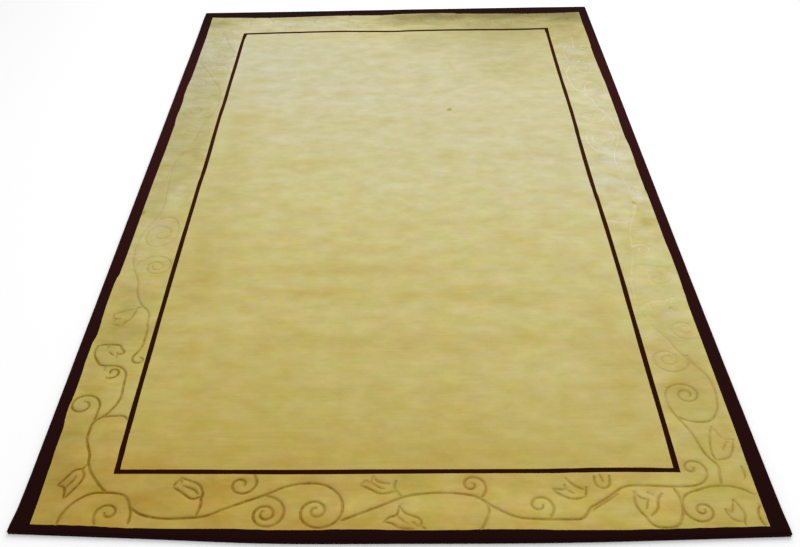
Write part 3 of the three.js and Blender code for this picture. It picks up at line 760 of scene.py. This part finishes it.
# Painted shade in the carved grooves, darker with depth below the pile and partly the deeper dye of the
# yarns' sides, strongest at the near end; and a painted highlight on the lit bank of the lines on the right
grooves = {
    "tint": (0.58, 0.46, 0.13),  # of the wool beside it: painted shade in the groove, with the deeper dye of the yarns' sides
    "start": 0.9,  # millimetres below the pile
    "full": 2.8,
    "sides": (-560, 60),  # from the left table to the right one
    # painted shade in the grooves: strongest at the near end, faint towards the far end
    "leftAlong": [(-1260, 0.8), (-900, 0.85), (-700, 0.72), (-600, 0.5), (-500, 0.36), (-380, 0.26),
                  (0, 0.22), (500, 0.25), (1260, 0.28)],
    "rightAlong": [(-1260, 0.62), (-1050, 0.5), (-850, 0.4), (-640, 0.34), (-400, 0.26), (-200, 0.16),
                   (100, 0.05), (1260, 0.04)],
    "patchy": [(5, 1.5), (16, 1.3), (52, 2.0)],  # (size, how much) of its darker and fainter stretches
    "highlightTint": (1.22, 1.2, 1.46),  # painted highlight: the lines on the right show a lit, pale bank
    "highlightStart": 0.1,
    "highlightFull": 0.6,
    "highlightFrom": (500, 620),
    # painted highlight along the rug: how much of the lines' lit bank shows
    "paintedSheenAlong": [(-1100, 0.15), (-800, 0.25), (-560, 0.6), (-250, 0.65), (0, 0.5), (200, 0.7), (420, 0.65),
                  (560, 0.9), (900, 1.0), (1020, 0.5), (1150, 0.1)],
}
# The dark wool is lighter from the near end to past the middle, and darker again at the far end
darkWool = {
    "band": (0.0105, 0.0021, 0.0018),
    "bandLighter": (0.029, 0.0040, 0.0040),
    "line": (0.0175, 0.0022, 0.0),
    "lineLighter": (0.038, 0.0095, 0.0005),
    "lighterAlong": [(-1260, 0.0), (-460, 0.45), (230, 0.85), (600, 1.0), (900, 0.75), (1120, 0.3),
                   (1280, 0.0)],
}


def patchShade(tree, place, kind):  # the soft patches added up
    total = None
    for name, x, y, across, along, paler, toneAndShade in patches:
        much = {"paler": paler, "toneAndShade": toneAndShade}[kind]
        if not much:
            continue
        apart = vectorCalc(tree, "SUBTRACT", place, (x, y, 0))
        apart = vectorCalc(tree, "MULTIPLY", apart, (1 / across, 1 / along, 0))
        shade = ramp(tree, lengthOf(tree, apart), 1.0, wool["patchCore"], 0.0, much)
        shade.node.label = name
        total = shade if total is None else calc(tree, "ADD", total, shade)
    return total


def noiseShade(tree, place, across, along, detail, shift):
    scaled = vectorCalc(tree, "MULTIPLY", place, (1 / across, 1 / along, 0))
    scaled = vectorCalc(tree, "ADD", scaled, (shift, shift * 0.7, shift))  # so that no two match
    shade = addNode(tree, "ShaderNodeTexNoise", {"Vector": scaled, "Scale": 1.0, "Detail": detail})
    return calc(tree, "SUBTRACT", shade.outputs[0], 0.5)


def mottle(tree, place, border):  # uneven dye: where it is lighter it is paler, and its hue strays besides
    across, along = mottling["fine"]
    scaled = vectorCalc(tree, "MULTIPLY", place, (1 / across, 1 / along, 0))
    stronger = calc(tree, "MULTIPLY_ADD", border, mottling["border"] - 1, 1.0)
    fine = partsOf(tree, scaleVector(tree, cloudOf(tree, scaled, 1.0, *mottling["fineDetail"]), stronger))
    broad = noiseShade(tree, place, *mottling["broad"])
    calmer = ramp(tree, partsOf(tree, place)["Y"], *mottling["calmFrom"], 1.0, mottling["calm"])

    def both(shares):
        return calc(tree, "MULTIPLY_ADD", fine["X"], shares[0], calc(tree, "MULTIPLY", broad, shares[1]))

    light = calc(tree, "ADD", both(mottling["light"]), 1.0)
    green = calc(tree, "MULTIPLY_ADD", fine["Y"], mottling["green"], both(mottling["greener"]))
    green = calc(tree, "MULTIPLY", green, calmer)
    blue = calc(tree, "MULTIPLY", fine["Z"], mottling["blue"])
    blue = calc(tree, "MULTIPLY_ADD", blue, calmer, both(mottling["paler"]))
    channels = {"X": calc(tree, "SUBTRACT", light, green), "Y": calc(tree, "ADD", light, green),
                "Z": calc(tree, "ADD", light, blue)}
    return addNode(tree, "ShaderNodeCombineXYZ", channels).outputs[0]


def dyeSheenAndShadeGroup():  # the light wool without its grooves, paled towards the far end by painted sheen, and dimmed there and at its rim by painted shade
    inputs = [("Place", "Vector", None), ("Chance", "Float", 0.5), ("Border", "Float", 0.0)]
    tree, given, out = addGroup("strawWool", inputs, [("Color", "Color")])
    place = given["Place"]
    cloud = cloudOf(tree, place, 1 / wool["waverSize"], 3.0)
    soft = vectorCalc(tree, "ADD", place, vectorCalc(tree, "MULTIPLY", cloud, wool["waver"]))
    x, y = partsOf(tree, soft)[:2]
    right = calc(tree, "MULTIPLY", x, 1 / wool["rightPlace"])
    right = calc(tree, "MULTIPLY", right, curve(tree, y, wool["paleRight"], 0.5))
    pale = calc(tree, "ADD", curve(tree, y, wool["paintedSheenAlong"]), right)
    pale = calc(tree, "ADD", pale, patchShade(tree, soft, "paler"))
    bands = [noiseShade(tree, place, *wool[name]) for name in ("wideRows", "thinRows")]
    pale = calc(tree, "MULTIPLY_ADD", calc(tree, "ADD", *bands), wool["rowShade"], pale, clamp=True)
    dyesWithShade = addNode(tree, "ShaderNodeValToRGB", {0: pale})
    stops = dyesWithShade.color_ramp.elements
    while len(stops) < len(wool["dyesWithShade"]):
        stops.new(0.5)
    for stop, (at, colour) in zip(stops, wool["dyesWithShade"]):
        stop.position = at
        stop.color = (*colour, 1)
    # brightness of the patches: uneven dye, and painted shade at the rim and the far end
    light = calc(tree, "ADD", patchShade(tree, soft, "toneAndShade"), 1.0)
    streaks = noiseShade(tree, place, *wool["streaks"])
    light = calc(tree, "MULTIPLY_ADD", streaks, wool["streakShade"], light)
    chance = calc(tree, "SUBTRACT", given["Chance"], 0.5)
    light = calc(tree, "MULTIPLY_ADD", chance, wool["knotShade"], light)
    dyed = scaleVector(tree, dyesWithShade.outputs[0], light)
    dyed = vectorCalc(tree, "MULTIPLY", dyed, mottle(tree, place, given["Border"]))
    tree.links.new(dyed, out["Color"])
    return tree


def grooveGroup():  # how strongly a place in a groove shows painted shade, as a dark line, and a painted highlight, as a pale one
    tree, given, out = addGroup("grooveShadeAndHighlight", [("Place", "Vector", None)],
                                [("ShadeShare", "Float"), ("Highlight", "Float")])
    x, y, z = partsOf(tree, given["Place"])
    below = calc(tree, "SUBTRACT", rug["thick"], z)
    side = ramp(tree, x, *grooves["sides"])
    left, right = (curve(tree, y, grooves[name]) for name in ("leftAlong", "rightAlong"))
    strength = addNode(tree, "ShaderNodeMix", {0: side, 2: left, 3: right}).outputs[0]
    pale = calc(tree, "MULTIPLY", ramp(tree, x, *grooves["highlightFrom"]), curve(tree, y, grooves["paintedSheenAlong"]))
    for size, much in grooves["patchy"]:
        patch = noiseShade(tree, given["Place"], size, size, 2.0, size)
        patch = calc(tree, "MULTIPLY_ADD", patch, much, 1.0)
        strength = calc(tree, "MULTIPLY", strength, patch)
        pale = calc(tree, "MULTIPLY", pale, patch)
    deep = ramp(tree, below, grooves["start"], grooves["full"])
    shallow = ramp(tree, below, grooves["highlightStart"], grooves["highlightFull"])
    tree.links.new(calc(tree, "MULTIPLY", deep, strength, clamp=True), out["ShadeShare"])
    tree.links.new(calc(tree, "MULTIPLY", shallow, pale, clamp=True), out["Highlight"])
    return tree


pileFinish = {
    "roughness": 0.92,
    "sheen": 0.02,
    "sheenTint": (1.0, 0.9, 0.7),
    "bump": (0.35, 0.0008),  # strength, and metres
    "fibres": (0.9, 0.6),  # scale and height
    "tufts": (0.42, -0.5),
    "knots": 0.25,
}
backFinish = {
    "roughness": 0.95,
    "sheen": 0.0,
    "sheenTint": (1.0, 1.0, 1.0),
    "bump": (0.5, 0.0008),
    "deep": (0.34, 0.26, 0.10),
    "pale": (0.50, 0.42, 0.22),
    "paleShare": (0.35, 0.3),  # the least, and what chance adds
    "knot": (2.2, 0.4),  # from its foot to its crown, in millimetres from its middle
    "facing": -0.95,  # a face that looks down more than this is of the back
}
allWool = {"specular": 0.03, "sheenRoughness": 0.45}


def woolRelief(tree, place, chance):  # clipped ends of the knots, for the Height of a Bump
    fibreScale, fibreHeight = pileFinish["fibres"]
    tuftScale, tuftHeight = pileFinish["tufts"]
    fibres = addNode(tree, "ShaderNodeTexNoise", {"Vector": place, "Scale": fibreScale, "Detail": 3.0})
    tufts = addNode(tree, "ShaderNodeTexVoronoi", {"Vector": place, "Scale": tuftScale})
    height = calc(tree, "MULTIPLY", fibres.outputs[0], fibreHeight)
    height = calc(tree, "MULTIPLY_ADD", tufts.outputs["Distance"], tuftHeight, height)
    return calc(tree, "MULTIPLY_ADD", chance, pileFinish["knots"], height)


rows, dark, straw, grooveShadeAndHighlight = knotGroup(), planGroup(), dyeSheenAndShadeGroup(), grooveGroup()


def millimetres(tree):
    place = addNode(tree, "ShaderNodeTexCoord").outputs["Object"]
    return vectorCalc(tree, "MULTIPLY", place, (1000, 1000, 1000))


def newMaterial(name):
    material = bpy.data.materials.new(name)
    material.use_nodes = True
    return material, material.node_tree.nodes["Principled BSDF"].inputs


def finishWool(tree, shader, colour, height, look):
    tree.links.new(colour, shader["Base Color"])
    shader["Roughness"].default_value = look["roughness"]
    shader["Specular IOR Level"].default_value = allWool["specular"]
    shader["Sheen Weight"].default_value = look["sheen"]
    shader["Sheen Roughness"].default_value = allWool["sheenRoughness"]
    shader["Sheen Tint"].default_value = (*look["sheenTint"], 1)
    strength, distance = look["bump"]
    relief = addNode(tree, "ShaderNodeBump", {"Height": height, "Strength": strength, "Distance": distance})
    tree.links.new(relief.outputs[0], shader["Normal"])


def pileMaterial():
    material, shader = newMaterial("woolPile")
    tree = material.node_tree
    place = millimetres(tree)
    knot = useGroup(tree, rows, {"Place": place})
    between = vectorCalc(tree, "MULTIPLY", vectorCalc(tree, "ADD", place, knot["Knot"]), (0.5, 0.5, 0.5))
    zones = useGroup(tree, dark, {"Place": between})
    wants = {"Place": place, "Chance": knot["Chance"], "Border": zones["Border"]}
    colour = useGroup(tree, straw, wants)["Color"]
    cut = useGroup(tree, grooveShadeAndHighlight, {"Place": place})
    # painted highlight on the lines' lit bank, then painted shade in the grooves
    for share, tint in (("Highlight", "highlightTint"), ("ShadeShare", "tint")):
        colour = blendColour(tree, cut[share], colour, vectorCalc(tree, "MULTIPLY", colour, grooves[tint]))
    lighterShare = curve(tree, partsOf(tree, place)["Y"], darkWool["lighterAlong"])
    line = blendColour(tree, lighterShare, darkWool["line"], darkWool["lineLighter"])
    band = blendColour(tree, lighterShare, darkWool["band"], darkWool["bandLighter"])
    colour = blendColour(tree, zones["Line"], colour, line)
    colour = blendColour(tree, zones["Band"], colour, band)
    finishWool(tree, shader, colour, woolRelief(tree, place, knot["Chance"]), pileFinish)
    return material


def backMaterial():
    material, shader = newMaterial("wovenBack")
    tree = material.node_tree
    place = millimetres(tree)
    knot = useGroup(tree, rows, {"Place": place})
    zones = useGroup(tree, dark, {"Place": knot["Knot"]})
    least, chance = backFinish["paleShare"]
    pale = calc(tree, "MULTIPLY_ADD", knot["Chance"], chance, least)
    colour = blendColour(tree, pale, backFinish["deep"], backFinish["pale"])
    colour = blendColour(tree, zones["Line"], colour, darkWool["line"])
    colour = blendColour(tree, zones["Band"], colour, darkWool["band"])
    apart = lengthOf(tree, vectorCalc(tree, "SUBTRACT", place, knot["Knot"]))
    finishWool(tree, shader, colour, ramp(tree, apart, *backFinish["knot"]), backFinish)
    return material


pile.data.materials.clear()
for made in (pileMaterial(), backMaterial()):
    pile.data.materials.append(made)
for face in pile.data.polygons:
    face.material_index = 1 if face.normal.z < backFinish["facing"] else 0
print("wool dyed")


studio = {  # in metres and watts
    "floorSize": 30.0,
    "floorColour": (0.93, 0.93, 0.93),
    "floorRoughness": 0.9,
    "air": 0.52,  # strength of the even light from all round
    "lamps": [("mainLight", (1.2, 2.2, 3.8), 130), ("frontLight", (-0.6, -2.4, 4.2), 70)],
    "lampSize": 4.0,
}


def addLamp(name, place, power):  # aimed at the middle of the rug
    data = bpy.data.lights.new(name, "AREA")
    data.shape = "SQUARE"
    data.size = studio["lampSize"]
    data.energy = power
    light = bpy.data.objects.new(name, data)
    scene.collection.objects.link(light)
    light.location = place
    light.rotation_euler = (-Vector(place)).to_track_quat("-Z", "Y").to_euler()


def addStudio():
    bm = bmesh.new()
    bmesh.ops.create_grid(bm, x_segments=4, y_segments=4, size=studio["floorSize"] / 2)
    mesh = bpy.data.meshes.new("floor")
    bm.to_mesh(mesh)
    bm.free()
    floor = bpy.data.objects.new("floor", mesh)
    scene.collection.objects.link(floor)
    material, shader = newMaterial("palePaint")
    shader["Base Color"].default_value = (*studio["floorColour"], 1)
    shader["Roughness"].default_value = studio["floorRoughness"]
    shader["Specular IOR Level"].default_value = 0.0
    mesh.materials.append(material)
    world = bpy.data.worlds.new("softAir")
    world.use_nodes = True
    light = world.node_tree.nodes["Background"].inputs
    light["Color"].default_value = (1, 1, 1, 1)
    light["Strength"].default_value = studio["air"]
    scene.world = world
    for lamp in studio["lamps"]:
        addLamp(*lamp)


addStudio()
print("studio lit")

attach(pile, "root")
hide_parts("rug")
